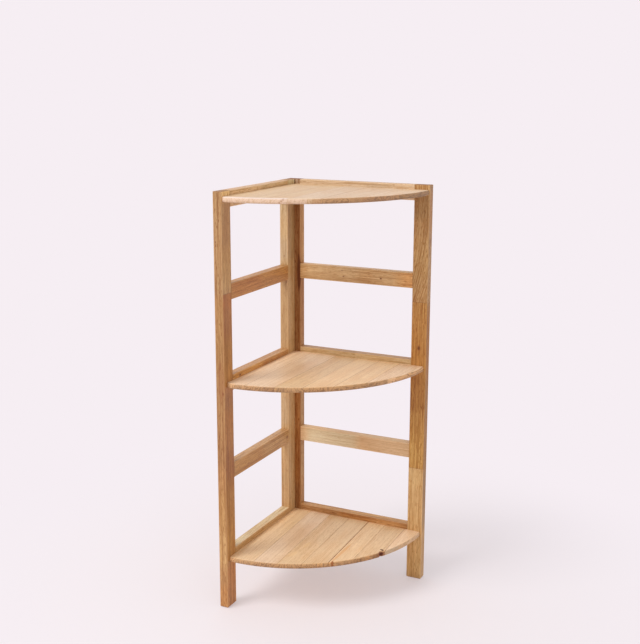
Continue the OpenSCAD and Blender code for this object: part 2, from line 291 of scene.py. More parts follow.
class Wood:
    """One piece's lacquered wood. Lengths are in millimetres, and the grain runs along axis."""

    def __init__(
        self, node, axis, tone, seed, bright=1.0, figure=1.0, lean=0.0, bend=0.0, end_share=0.4, end="brown"
    ):
        low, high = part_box(node)
        self.axis = axis
        self.middle = (low + high) / 2
        self.half = (high - low) / 2 / MM
        self.from_corner = (self.middle - corner) / MM
        self.draw = random.Random(seed)
        self.figure = figure
        self.lean = lean
        self.bend = bend
        self.end_share = end_share
        self.end_light, self.end_dark = END_TINTS[end]
        self.stains = []
        self.matt = []
        self.rim_spans = []
        self.material = bpy.data.materials.new("wood_" + node)
        self.material.use_nodes = True
        self.g = Graph(self.material.node_tree)
        self.shader = self.material.node_tree.nodes["Principled BSDF"]
        self.mean = tinted(TONES[tone], (bright, bright, bright))
        self.dark = tinted(self.mean, DARK_WOOD)
        self.pale = tinted(self.mean, PALE_WOOD)
        # Colour of worn wood with a painted highlight, on roundings
        self.wear_and_highlight = tinted(self.mean, CREAM_WEAR_AND_HIGHLIGHT) if end == "cream" else self.pale
        self.make_coordinates()
        self.make_figure()

    def make_coordinates(self):
        """Places from the piece's middle, places along the leaning grain, and which way each side looks."""
        g = self.g
        place = g.add("ShaderNodeTexCoord").outputs["Object"]
        centred = g.vector("SUBTRACT", place, tuple(self.middle))
        self.local = g.vector("MULTIPLY", centred, (1 / MM, 1 / MM, 1 / MM))
        split = g.add("ShaderNodeSeparateXYZ")
        g.join(self.local, split.inputs[0])
        self.parts = split.outputs
        across, depth, along = (split.outputs[letter] for letter in ACROSS[self.axis])
        slope = g.math("ADD", g.math("MULTIPLY", along, self.bend), self.lean)
        self.leaning = g.math("ADD", across, g.math("MULTIPLY", along, slope))
        self.grain = g.combine(self.leaning, depth, along)
        shift = tuple(self.draw.uniform(-500, 500) for _ in range(3))
        self.field = g.vector("ADD", self.grain, shift)
        facing = g.add("ShaderNodeSeparateXYZ")
        g.join(g.add("ShaderNodeNewGeometry").outputs["Normal"], facing.inputs[0])
        self.normal = facing.outputs
        self.facing = {letter: g.math("ABSOLUTE", facing.outputs[letter]) for letter in "XYZ"}

    def stretched(self, across, along, detail=2.0, roughness=0.5):
        """Noise whose features are about across wide and along long."""
        place = self.g.vector("MULTIPLY", self.field, (1 / across, 1 / across, 1 / along))
        return self.g.noise(place, detail=detail, roughness=roughness)

    def ring_phase(self):
        """How far each point lies from one growth ring to the next, round a pith outside the piece."""
        g = self.g
        wander = g.add("ShaderNodeTexNoise")
        g.join(g.vector("MULTIPLY", self.field, (1 / 60, 1 / 60, 1 / 320)), wander.inputs["Vector"])
        wander.inputs["Detail"].default_value = 2.0
        sway = g.vector("SUBTRACT", wander.outputs["Color"], (0.5, 0.5, 0.5))
        sway = g.vector("MULTIPLY", sway, (RING_SWAY, RING_SWAY, 0))
        angle = self.draw.uniform(0, 2 * math.pi)
        away = self.draw.uniform(*PITH_AWAY)
        pith = (away * math.cos(angle), away * math.sin(angle), 0)
        flat = g.vector("ADD", g.vector("SUBTRACT", self.grain, pith), sway)
        radius = g.vector("LENGTH", g.vector("MULTIPLY", flat, (1, 1, 0)))
        return g.math("FRACT", g.math("DIVIDE", radius, self.draw.uniform(*RING_GAP)))

    def make_figure(self):
        """Growth rings, broad bands of colour, long fine lines, flecks, dashes, fibres and pores."""
        g = self.g
        ring_tones = [(0.0, 0.3), (0.15, 0.05), (0.6, 0.3), (0.88, 1.0), (1.0, 0.3)]
        self.late_wood = g.ramp(self.ring_phase(), ring_tones)
        self.fibre = self.stretched(1.1, 70, detail=4.0, roughness=0.6)
        lines = self.stretched(1.9, 200, roughness=0.6)
        flecks = self.stretched(2.3, 42, roughness=0.6)
        dashes = self.stretched(1.4, 12, detail=1.0)
        self.flecks_even = self.stretched(6, 22)
        band = self.stretched(10, 260, roughness=0.6)
        blotch = self.stretched(45, 120)
        self.pores = g.remap(self.stretched(0.6, 8, detail=1.0), 0.60, 0.70)

        rings = g.math("MULTIPLY", self.late_wood, g.remap(blotch, 0.3, 0.7, 0.35, 0.95))
        light, late = tinted(self.mean, EARLY_WOOD), tinted(self.mean, LATE_WOOD)
        colour = g.mix(g.math("MULTIPLY", rings, self.figure), light, late)
        colour = g.mix(g.remap(blotch, 0.42, 0.68, 0.0, 0.5), colour, tinted(self.mean, RUDDY_WOOD))
        for pattern, none, full, share, tone in (
            (band, 0.48, 0.66, 0.45, self.dark),
            (lines, 0.52, 0.66, 0.75, self.dark),
            (lines, 0.47, 0.33, 0.75, self.pale),
            (flecks, 0.54, 0.66, 0.40, self.dark),
            (flecks, 0.44, 0.32, 0.50, self.pale),
            (dashes, 0.59, 0.68, 0.75, self.dark),
        ):
            colour = g.mix(g.remap(pattern, none, full, 0.0, share * self.figure), colour, tone)
        deepening = [
            g.remap(self.fibre, 0.30, 0.70, 1 - depth * self.figure, 1 + 0.8 * depth * self.figure)
            for depth in FIBRE_DEPTH
        ]
        colour = g.mix(1.0, colour, g.combine(*deepening), "MULTIPLY")
        self.colour = g.mix(g.math("MULTIPLY", self.pores, 0.4), colour, self.dark)

    def near(self, letter, middle, reach, fade):
        """1 within reach of a place along one axis of the corner's frame, and 0 past the fade."""
        g = self.g
        offset = middle - self.from_corner["XYZ".index(letter)]
        away = g.math("ABSOLUTE", g.math("SUBTRACT", self.parts[letter], offset))
        return g.remap(away, reach + fade, reach - fade)

    def patch(self, side, tint, middle=None, reach=None):
        """Another tint on one side, all along it or within reach of a middle along the grain, for the
        wood's own tone and for painted light and shade.
        """
        g = self.g
        ahead = g.math("MULTIPLY", self.normal[side[-1]], -1.0 if side[0] == "-" else 1.0)
        share = g.remap(ahead, 0.5, 0.8)
        if reach is not None:
            share = g.math("MULTIPLY", share, self.near(self.axis, middle, reach, PATCH_FADE))
        self.colour = g.mix(share, self.colour, (*TINTS[tint], 1.0), "MULTIPLY")

    def frayed_distance(self, spot, reach, long_reach, fray):
        """Distance from a spot, as a share of reach across the grain and of long_reach along it."""
        g = self.g
        squeeze = tuple(1 / (long_reach if letter == self.axis else reach) for letter in "XYZ")
        offset = g.vector("SUBTRACT", self.local, tuple(Vector(spot) - self.from_corner))
        distance = g.vector("LENGTH", g.vector("MULTIPLY", offset, squeeze))
        return g.math("ADD", distance, g.math("MULTIPLY", g.math("SUBTRACT", self.fibre, 0.5), fray))

    def knot(self, spot, radius, dark):
        """A small dark oval with a ruddy rim."""
        g = self.g
        distance = self.frayed_distance(spot, radius, radius * KNOT_STRETCH, KNOT_FRAY)
        self.stains.append((g.remap(distance, 1.9, 1.0, 0.0, 0.6 * dark), KNOT_RIM))
        heart = g.remap(distance, 1.1, 0.6, 0.0, dark)
        self.stains.append((heart, KNOT_HEART))
        self.matt.append(heart)

    def streak(self, spot, reach, long_reach, share, tone):
        """A matt stain drawn out along the grain."""
        distance = self.frayed_distance(spot, reach, long_reach, STREAK_FRAY)
        stain = self.g.remap(distance, 1.1, 0.85, 0.0, share)
        self.stains.append((stain, tone))
        self.matt.append(stain)

    def line(self, coordinate, offset, reach, share, axis, tone=STAIN):
        """A dark line where a coordinate is near an offset, on the two sides that look along an axis."""
        g = self.g
        away = g.math("ABSOLUTE", g.math("SUBTRACT", coordinate, offset))
        dark = g.remap(away, reach, reach / 2, 0.0, share)
        dark = g.math("MULTIPLY", dark, g.remap(self.flecks_even, 0.3, 0.6, 0.6, 1.0))
        dark = g.math("MULTIPLY", dark, g.remap(self.facing[axis], 0.6, 0.9))
        self.colour = g.mix(dark, self.colour, tone)

    def finger_joint(self, height, axis):
        """The glue line of a finger joint, straight across the two sides that look along an axis."""
        self.line(self.parts["Z"], height - self.from_corner.z, JOINT_LINE, JOINT_SHARE, axis)

    def seam(self, x, share):
        """The glue line beside a neighbouring board, whose back end is at x in the corner's frame."""
        offset = x - self.from_corner.x - self.lean * self.from_corner.y
        self.line(self.leaning, offset, SEAM_LINE, share, "Z", SEAM_GLUE)

    def wear_and_highlight_arrises(self):
        """Paler bands beside the long arrises, where the finish is thin, and a painted highlight along
        them.
        """
        g = self.g
        bands = []
        for letter in ACROSS[self.axis][:2]:
            away = g.math("ABSOLUTE", self.parts[letter])
            inside = g.math("SUBTRACT", self.half["XYZ".index(letter)], away)
            bands.append(g.remap(inside, 3.0, 1.0))
        near = g.math("MULTIPLY", bands[0], bands[1])
        worn_and_highlit = g.math("MULTIPLY", near, g.remap(self.flecks_even, 0.35, 0.6, 0.35 * ARRIS_WEAR_AND_HIGHLIGHT, ARRIS_WEAR_AND_HIGHLIGHT))
        self.colour = g.mix(worn_and_highlit, self.colour, self.pale)

    def inside_rim(self, rim):
        """Distance inwards from a shelf's rim."""
        g = self.g
        centre = (rim.x - self.from_corner.x, rim.y - self.from_corner.y, 0)
        outwards = g.vector("MULTIPLY", g.vector("SUBTRACT", self.local, centre), (1, 1, 0))
        return g.math("SUBTRACT", rim.radius, g.vector("LENGTH", outwards))

    def end_tone(self, speckle, rim):
        """Mottled colour of the end grain. A shelf's rim has upright strokes, and painted shade darkens it
        below.
        """
        g = self.g
        rays = g.noise(g.vector("MULTIPLY", self.field, (0.13, 0.06, 0.13)), detail=3.0, roughness=0.6)
        mottle = g.math("ADD", g.math("MULTIPLY", speckle, 0.30), g.math("MULTIPLY", rays, 0.35))
        mottle = g.math("ADD", mottle, g.math("MULTIPLY", self.late_wood, 0.32))
        if rim:
            # Painted shade: the mottle darkens towards the rim's lower edge
            mottle = g.math("ADD", mottle, g.remap(self.parts["Z"], 4.0, -4.0, -0.04, 0.05))
            strokes = g.noise(g.vector("MULTIPLY", self.field, (0.40, 0.05, 0.03)))
            mottle = g.math("ADD", mottle, g.remap(strokes, 0.35, 0.65, -0.05, 0.05))
        base = TONES["birch"] if rim else self.mean
        tone = g.mix(g.remap(mottle, 0.38, 0.56), tinted(base, self.end_light), tinted(base, self.end_dark))
        if rim:
            # Painted shade on the lower part of the rim
            tone = g.mix(g.remap(self.parts["Z"], 1.0, -5.0), tone, (*LOWER_RIM_PAINTED_SHADE, 1.0), "MULTIPLY")
        for middle, reach, tint in self.rim_spans:
            tone = g.mix(self.near("X", middle, reach, SPAN_FADE), tone, (*tint, 1.0), "MULTIPLY")
        return tone

    def wear_and_highlight_share(self, speckle, end_grain, wear_and_highlight_strength, rim, wear_and_highlight_reach):
        """Where the wood is worn pale and given a painted highlight: on the upward rounding of a shelf's
        rim, and on the rounding of a stick's arrises.
        """
        g = self.g
        worn_and_highlit = g.remap(speckle, 0.3, 0.6, 0.5 * wear_and_highlight_strength, wear_and_highlight_strength)
        if rim:
            near = g.remap(self.inside_rim(rim), wear_and_highlight_reach + 2, wear_and_highlight_reach - 2)
            # Painted highlight: only the rounding that faces upwards, towards the light, is paled
            upper = g.remap(self.normal["Z"], 0.35, 0.70)
            return g.math("MULTIPLY", worn_and_highlit, g.math("MULTIPLY", near, upper))
        # Worn, with a painted highlight: the slanted rounding of a stick's arrises
        slant = g.math("ADD", g.math("ADD", self.facing["X"], self.facing["Y"]), self.facing["Z"])
        rounding = g.math("MULTIPLY", g.remap(slant, 1.08, 1.35), worn_and_highlit)
        return g.math("MULTIPLY", rounding, g.math("SUBTRACT", 1.0, end_grain))

    def set_surface(self, end_grain):
        """Lacquer that end grain, pores and stains leave duller, with a slight relief of the fibres."""
        g = self.g
        rough = g.remap(self.fibre, 0.2, 0.8, *FIBRE_ROUGHNESS)
        rough = g.math("ADD", rough, g.math("MULTIPLY", self.pores, PORE_ROUGHNESS))
        rough = g.math("ADD", rough, g.math("MULTIPLY", end_grain, END_ROUGHNESS))
        for share in self.matt:
            rough = g.math("ADD", rough, g.math("MULTIPLY", share, MATT_ROUGHNESS))
        g.join(rough, self.shader.inputs["Roughness"])
        self.shader.inputs["Coat Weight"].default_value = COAT
        self.shader.inputs["Coat Roughness"].default_value = COAT_ROUGHNESS
        relief = g.math("MULTIPLY", self.fibre, 0.6)
        relief = g.math("SUBTRACT", relief, g.math("MULTIPLY", self.pores, 0.5))
        relief = g.math("SUBTRACT", relief, g.math("MULTIPLY", self.late_wood, 0.15))
        bump = g.add("ShaderNodeBump")
        bump.inputs["Strength"].default_value = RELIEF_STRENGTH
        bump.inputs["Distance"].default_value = RELIEF_HEIGHT * MM
        g.join(relief, bump.inputs["Height"])
        g.join(bump.outputs[0], self.shader.inputs["Normal"])

    def finish(self, wear_and_highlight_strength=ROUNDING_WEAR_AND_HIGHLIGHT, rim=None, wear_and_highlight_reach=0.0):
        """End grain, worn wood with a painted highlight on its rounding, stains and the surface. Only shelf
        boards have a rim.
        """
        g = self.g
        if rim:
            end_grain = g.remap(self.facing["Z"], 0.97, 0.74)
        else:
            end_grain = g.remap(self.facing[self.axis], 0.35, 0.80)
        speckle = g.noise(g.vector("MULTIPLY", self.field, (0.5, 0.5, 0.5)), detail=4.0, roughness=0.7)
        end_tone = self.end_tone(speckle, rim)
        colour = g.mix(g.math("MULTIPLY", end_grain, self.end_share), self.colour, end_tone)
        wear_and_highlight = self.wear_and_highlight_share(speckle, end_grain, wear_and_highlight_strength, rim, wear_and_highlight_reach)
        colour = g.mix(wear_and_highlight, colour, self.wear_and_highlight)
        for share, tone in self.stains:
            colour = g.mix(share, colour, tone)
        g.join(colour, self.shader.inputs["Base Color"])
        self.set_surface(end_grain)
        return self.material


def dress(node, material):
    """Gives a CAD node a new material."""
    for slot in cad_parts[node].material_slots:
        slot.material = material


def steel(name):
    """Zinc-plated steel of the screws."""
    material = bpy.data.materials.new(name)
    material.use_nodes = True
    g = Graph(material.node_tree)
    shader = material.node_tree.nodes["Principled BSDF"]
    place = g.vector("MULTIPLY", g.add("ShaderNodeTexCoord").outputs["Object"], (900, 900, 900))
    grain = g.noise(place, detail=4.0)
    zinc = g.ramp(grain, [(0.3, srgb(150, 148, 140)), (0.7, srgb(196, 194, 186))])
    g.join(zinc, shader.inputs["Base Color"])
    shader.inputs["Metallic"].default_value = 1.0
    g.join(g.remap(grain, 0.3, 0.7, 0.28, 0.45), shader.inputs["Roughness"])
    return material


# Grain, tone, brightness and figure of each stick
STICKS = {
    "left_front_leg_upper": ("Z", "honey", 1.0, 1.35),
    "left_front_leg_lower": ("Z", "chestnut", 1.0, 1.3),
    "right_front_leg_upper": ("Z", "honey", 1.0, 1.5),
    "right_front_leg_middle": ("Z", "russet", 1.0, 1.4),
    "right_front_leg_lower": ("Z", "oat", 0.97, 1.1),
    "left_back_post": ("Z", "oat", 0.92, 0.9),
    "right_back_post": ("Z", "umber", 1.0, 1.4),
    "left_bottom_rail": ("Y", "oat", 0.98, 0.9),
    "left_lower_brace": ("Y", "amber", 0.97, 1.2),
    "left_middle_rail": ("Y", "amber", 1.05, 1.3),
    "left_upper_brace": ("Y", "russet", 1.1, 1.2),
    "left_top_rail": ("Y", "straw", 1.04, 1.2),
    "right_bottom_rail": ("X", "chestnut", 0.94, 1.4),
    "right_lower_brace": ("X", "straw", 1.05, 0.55),
    "right_middle_rail": ("X", "oat", 0.92, 1.1),
    "right_upper_brace": ("X", "oat", 1.0, 1.2),
    "right_top_rail": ("X", "straw", 0.93, 0.9),
}
# How the grain leans across a stick, and how fast the lean changes along it
LEANS = {"right_front_leg_upper": (-0.13, 0.0008)}
# How much the lacquer shines, and the sticks where it has sunk in
FULL_SHEEN = 0.5
SHEEN = {
    "right_back_post": 0.2, "right_front_leg_upper": 0.3, "right_front_leg_middle": 0.3,
    "right_front_leg_lower": 0.3,
}
# Knots: their place, radius and darkness
KNOTS = {
    "left_front_leg_upper": [((-15, -315.5, 798), 1.3, 0.55), ((-15, -315.5, 790), 1.3, 0.45)],
    "left_front_leg_lower": [((-3.5, -315.5, 482), 2.2, 0.5)],
    "right_front_leg_middle": [((305.6, 0, 544), 3.2, 0.7)],
    "left_middle_rail": [((0, -251, 508), 2.0, 0.8)],
    "left_lower_brace": [((0, -40, 306), 2.4, 0.6)],
    "left_back_post": [((-9, -32, 730), 1.5, 0.3), ((-4, -32, 671), 1.8, 0.4)],
    "right_upper_brace": [
        ((122.6, 0, 688.7), 1.2, 0.7), ((119, 0, 701.7), 1.3, 0.35), ((213, 0, 691.2), 1.3, 0.9),
    ],
}
# A darker band along a stick: the axis its sides look along, the axis across it, how far it lies from the
# stick's middle, its reach and its darkness
BANDS = {"left_front_leg_lower": ("X", "Y", -5.5, 6.0, 0.15)}
# Stains along the grain: their place, reach across and along the grain, share and colour
STREAKS = {
    "right_back_post": [((11.0, 1.0, 688), 4.4, 45, 0.92, BARK)],
    "left_front_leg_lower": [((-8, -315.5, 508), 8, 46, 0.30, KNOT_RIM)],
}

# Stretches along the grain: their middle and reach, in the corner's frame
# Just above the top shelf, where painted light pales the inner sides of the legs and posts
ABOVE_TOP_SHELF = (915, 30)
LEFT_FRONT_HALF = (-215, 62)
LEFT_BACK_HALF = (-90, 62)
RIGHT_BACK_HALF = (95, 65)

# Sides whose colour differs: the side, its tint, and the middle and reach of the stretch if it isn't the
# whole side. Where stretches overlap, their tints multiply, and a tint given twice acts twice. Most tints
# are the wood's own; the +Z tints and the stretches marked below as painted are painted light and shade.
PATCHES = {
    "left_front_leg_upper": [
        ("-Y", "darker"), ("+X", "paler"), ("+X", "lighter", 741, 43),
        # Painted light: the +X side is paler and cooler above the top shelf
        ("+X", "whiter", *ABOVE_TOP_SHELF), ("+X", "brighter", *ABOVE_TOP_SHELF),
        ("+X", "brighter", *ABOVE_TOP_SHELF), ("+X", "cooler", *ABOVE_TOP_SHELF),
        ("+X", "cooler", *ABOVE_TOP_SHELF),
    ],
    "left_front_leg_lower": [
        ("-Y", "duller", 560, 131), ("-Y", "darker", 376, 53), ("-Y", "paler", 160, 163),
        ("-Y", "creamier", 178, 84), ("-Y", "fresher", 590, 95), ("-Y", "redder", 10, 40),
        ("+X", "redder", 680, 22), ("+X", "redder", 645, 50), ("+X", "yellower", 550, 45),
        ("+X", "lighter", 510, 28), ("+X", "darker", 461, 22), ("+X", "redder", 400, 105),
        ("+X", "warmer", 354, 90), ("+X", "rusty", 311, 43), ("+X", "yellower", 145, 150),
        ("+X", "lighter", 117, 65), ("+X", "rosier", 45, 50),
    ],
    "right_front_leg_upper": [
        # Painted shadow of the top shelf: the dim stretch of the -Y side just below it
        ("-Y", "yellower"), ("-Y", "cooler"), ("-Y", "paler", 741, 43), ("-Y", "dim", 858, 32),
        ("+X", "cooler"), ("+X", "paler", 701, 55), ("+X", "redder", 840, 42),
    ],
    "right_front_leg_middle": [
        # Painted shadow of the middle shelf: the rusty stretch just below it; painted light: the creamier
        # and paler stretches lower down, between the shelves' shadows
        ("-Y", "yellower"), ("-Y", "cooler"), ("-Y", "rusty", 441, 43), ("-Y", "creamier", 333, 66),
        ("-Y", "paler", 300, 55),
        ("+X", "duller"), ("+X", "redder", 550, 83), ("+X", "warmer"), ("+X", "warmer", 530, 105),
    ],
    "right_front_leg_lower": [
        ("-Y", "yellower"), ("-Y", "cooler"), ("-Y", "paler", 252, 35), ("-Y", "lighter", 55, 40),
        ("+X", "dim", 192, 72), ("+X", "rusty", 219, 42), ("+X", "lighter", 115, 20),
    ],
    "left_back_post": [
        ("-Y", "milkier", 837, 24), ("-Y", "whiter", 790, 85), ("-Y", "greyer", 744, 24),
        ("-Y", "darker", 615, 88), ("-Y", "paler", 408, 90), ("-Y", "greyer", 369, 38),
        ("-Y", "paler", 280, 20), ("-Y", "darker", 200, 20),
        # Painted shadow of the top shelf: the dim stretch of the +X side below it
        ("+X", "paler"), ("+X", "dim", 810, 90),
        # Painted light: the +X side is paler and cooler above the top shelf
        ("+X", "whiter", *ABOVE_TOP_SHELF), ("+X", "brighter", *ABOVE_TOP_SHELF),
        ("+X", "milkier", *ABOVE_TOP_SHELF), ("+X", "milkier", *ABOVE_TOP_SHELF),
        ("+X", "milkier", *ABOVE_TOP_SHELF),
    ],
    "right_back_post": [
        ("+X", "brighter"), ("+X", "paler"), ("+X", "cooler"),
        ("+X", "creamier", 800, 90), ("+X", "paler", 800, 90), ("+X", "warmer", 620, 80),
        ("+X", "creamier", 300, 180), ("+X", "cooler", 330, 130), ("+X", "duller", 330, 130),
        # Painted light: the -Y side is paler and cooler above the top shelf
        ("-Y", "brighter", 330, 150), ("-Y", "whiter", *ABOVE_TOP_SHELF),
        ("-Y", "milkier", *ABOVE_TOP_SHELF), ("-Y", "milkier", *ABOVE_TOP_SHELF),
        ("-Y", "milkier", *ABOVE_TOP_SHELF), ("-Y", "cooler", *ABOVE_TOP_SHELF),
    ],
    "left_bottom_rail": [
        ("+X", "paler", -95, 60), ("+X", "warmer", *LEFT_FRONT_HALF),
        # Painted light on the upper face, from the +Z tints
        ("+Z", "whiter"), ("+Z", "creamier"), ("+Z", "cooler"),
    ],
    "left_lower_brace": [
        ("+X", "yellower", *LEFT_FRONT_HALF), ("+X", "warmer", *LEFT_FRONT_HALF),
        ("+X", "paler", *LEFT_BACK_HALF), ("+X", "fresher", *LEFT_BACK_HALF),
        # Painted light on the upper face, from the +Z tints
        ("+Z", "paler"), ("+Z", "milkier"),
    ],
    "left_middle_rail": [
        ("+X", "brighter", *LEFT_FRONT_HALF), ("+X", "lighter", *LEFT_FRONT_HALF),
        ("+X", "redder", *LEFT_BACK_HALF), ("+X", "fresher"),
        # Painted light on the upper face, from the +Z tints
        ("+Z", "lighter"), ("+Z", "cooler"),
    ],
    "left_upper_brace": [
        ("+X", "redder", *LEFT_FRONT_HALF), ("+X", "yellower", *LEFT_BACK_HALF),
        # Painted light on the upper face, from the +Z tints
        ("+Z", "paler"), ("+Z", "milkier"), ("+Z", "cooler"),
    ],
    "left_top_rail": [
        ("+X", "lighter", *LEFT_FRONT_HALF), ("+X", "duller", *LEFT_BACK_HALF),
        ("+X", "warmer", *LEFT_BACK_HALF),
    ],
    "right_bottom_rail": [
        ("-Y", "redder", 158, 40), ("-Y", "warmer", 158, 40), ("-Y", "brighter", 238, 38),
        # Painted light on the upper face, from the +Z tints
        ("-Y", "cooler", 238, 38), ("+Z", "whiter"), ("+Z", "brighter"), ("+Z", "lighter"),
    ],
    "right_lower_brace": [
        ("-Y", "paler", *RIGHT_BACK_HALF), ("-Y", "milkier", *RIGHT_BACK_HALF),
        ("-Y", "duller", *RIGHT_BACK_HALF), ("-Y", "duller", *RIGHT_BACK_HALF),
        # Painted light on the upper face, from the +Z tints
        ("+Z", "paler"), ("+Z", "lighter"),
    ],
    "right_middle_rail": [("-Y", "whiter")],
    "right_upper_brace": [
        ("-Y", "paler"), ("-Y", "milkier", *RIGHT_BACK_HALF),
        ("-Y", "redder", 272, 26), ("-Y", "redder", 282, 18),
        # Painted light on the upper face, from the +Z tints
        ("+Z", "brighter"), ("+Z", "creamier"), ("+Z", "milkier"), ("+Z", "cooler"),
    ],
    "right_top_rail": [("-Y", "paler"), ("-Y", "greyer"), ("-Y", "darker", 205, 30)],
}

# Finger joints of the legs: the axis that the sides with glue lines look along, and the lines' heights
LEFT_JOINT, RIGHT_UPPER_JOINT, RIGHT_LOWER_JOINT = 691, 646, 266
FINGER_JOINTS = {
    "left_front_leg_upper": ("X", (LEFT_JOINT,)),
    "left_front_leg_lower": ("X", (LEFT_JOINT,)),
    "right_front_leg_upper": ("Y", (RIGHT_UPPER_JOINT,)),
    "right_front_leg_middle": ("Y", (RIGHT_UPPER_JOINT, RIGHT_LOWER_JOINT)),
    "right_front_leg_lower": ("Y", (RIGHT_LOWER_JOINT,)),
}


def dress_sticks():
    for seed, (node, (axis, tone, bright, figure)) in enumerate(STICKS.items()):
        lean, bend = LEANS.get(node, (0.0, 0.0))
        wood = Wood(node, axis, tone, seed, bright, figure, lean, bend)
        for patch in PATCHES[node]:
            wood.patch(*patch)
        for spot, radius, dark in KNOTS.get(node, ()):
            wood.knot(spot, radius, dark)
        for spot, reach, long_reach, share, stain in STREAKS.get(node, ()):
            wood.streak(spot, reach, long_reach, share, stain)
        if node in BANDS:
            side_axis, across, offset, reach, share = BANDS[node]
            wood.line(wood.parts[across], offset, reach, share, side_axis)
        if node in FINGER_JOINTS:
            side_axis, heights = FINGER_JOINTS[node]
            for height in heights:
                wood.finger_joint(height, side_axis)
        wood.wear_and_highlight_arrises()
        wood.shader.inputs["Specular IOR Level"].default_value = SHEEN.get(node, FULL_SHEEN)
        dress(node, wood.finish())


def dress_fasteners():
    for node, axis, seed in (("left_frame_dowels", "Y", 200), ("right_frame_dowels", "X", 201)):
        dress(node, Wood(node, axis, "straw", seed).finish())
    screw_steel = steel("zinc_steel")
    for node in ("left_shelf_screws", "right_shelf_screws", "corner_screws"):
        dress(node, screw_steel)


# Shelves, in millimetres: the ends of each rim from the back corner, along the left frame and the right one
RIM_ENDS = {"bottom_shelf": (306.5, 318.0), "middle_shelf": (306.5, 318.0), "top_shelf": (315.0, 321.0)}
# How far a rim bulges, as a share of the straight line between its ends
RIM_FULLNESS = 0.206
# Radii of a rim's upper and lower rounding, and the bevel along the seams
ROUND_UPPER, ROUND_LOWER = 3.0, 2.0
SEAM_BEVEL = 0.25
# Faces of the mesh: the steps in each rounding, the levels on the upright part between them as shares of
# the thickness, the length of the faces along a rim, and the width of the band of faces above it
ROUND_STEPS = 5
UPRIGHT_LEVELS = (0.36, 0.54)
RIM_STEP = 1.6
EDGE_BAND = 5.0
# Wear of a rim: even wear, rough spots and their number to the millimetre, and hollows and theirs
EVEN_WEAR = 0.14
ROUGH_WEAR, SPOTS_PER_MM = 0.14, 0.55
HOLLOW_WEAR, HOLLOWS_PER_MM = 0.22, 0.12
# How much lower than its neighbours a board can lie
LARGEST_DROP = 0.12

# Where each seam meets the shelf's back edge, from the left frame outwards, and how the seams lean
SEAMS = {
    "bottom_shelf": (0.05, 43, 93, 142, 191, 233, 281, 318),
    "middle_shelf": (0.05, 44, 106, 160, 212, 262, 318),
    "top_shelf": (0.05, 40, 84, 127, 185, 248, 321),
}
SEAM_SLOPES = {
    "bottom_shelf": math.tan(math.radians(2.6)),
    "middle_shelf": math.tan(math.radians(-0.6)),
    "top_shelf": math.tan(math.radians(1.2)),
}

# Tone, brightness, figure and share and kind of end grain of each board, from the left frame outwards
BOARDS = {
    "bottom_shelf": [
        ("birch", 1.08, 0.4, 0.80, "brown"), ("bone", 1.07, 0.35, 0.90, "brown"),
        ("birch", 1.02, 0.4, 0.90, "brown"), ("birch", 1.02, 0.35, 0.90, "brown"),
        ("birch", 1.10, 0.4, 0.90, "brown"), ("birch", 1.04, 0.4, 0.95, "brown"),
        ("bone", 1.16, 0.4, 0.45, "brown"),
    ],
    "middle_shelf": [
        ("bone", 1.15, 0.4, 0.85, "brown"), ("bone", 1.09, 0.35, 0.9, "brown"),
        ("birch", 1.03, 0.4, 0.85, "brown"), ("birch", 1.11, 0.35, 0.9, "brown"),
        ("birch", 1.12, 0.4, 0.9, "brown"), ("bone", 1.12, 0.5, 0.85, "brown"),
    ],
    "top_shelf": [
        ("birch", 0.93, 0.4, 0.95, "cream"), ("birch", 0.90, 0.4, 0.95, "cream"),
        ("birch", 0.91, 0.4, 0.95, "cream"), ("bone", 0.91, 0.4, 0.95, "tan"),
        ("bone", 0.93, 0.4, 0.85, "brown"), ("bone", 0.97, 0.4, 0.8, "brown"),
    ],
}
# Darkness of the seams, and of those that are darker, by the board on their left
PLAIN_SEAM = 0.25
STRONG_SEAMS = {("bottom_shelf", 4): 1.0, ("middle_shelf", 4): 0.7, ("bottom_shelf", 6): 0.8}
# Half the gap of the seam that stands open
OPEN_SEAMS = {("bottom_shelf", 4): 0.35}
# Knots in the boards: their place and radius
RIM_KNOTS = {
    ("bottom_shelf", 6): [((281.8, -138.8, 111), 4.8)],
}
# Stains on the boards: their place, reach across and along the grain, share and colour
RIM_STREAKS = {
    ("bottom_shelf", 3): [((115, -232, 116), 6, 15, 0.3, FLAME), ((120.5, -178, 116), 5, 18, 0.3, FLAME)],
    ("bottom_shelf", 5): [
        ((206, -185, 116), 3.5, 55, 0.5, RESIN),
        ((207.3, -228, 113), 3.6, 6.0, 0.85, GUM),
        ((207.5, -228, 108.5), 3.4, 6.0, 0.8, GUM),
    ],
    ("bottom_shelf", 6): [
        ((277, -126, 116), 3.6, 2.4, 0.9, KNOT_HEART),
        ((281, -128.5, 116), 2.3, 3.2, 0.9, KNOT_HEART),
    ],
    ("top_shelf", 3): [
        ((125.5, -289, 888), 2.2, 6.0, 0.4, KNOT_RIM),
        ((122, -291, 885), 2.2, 6.0, 0.4, KNOT_RIM),
        ((118.5, -293, 881.5), 2.2, 6.0, 0.4, KNOT_RIM),
    ],
}
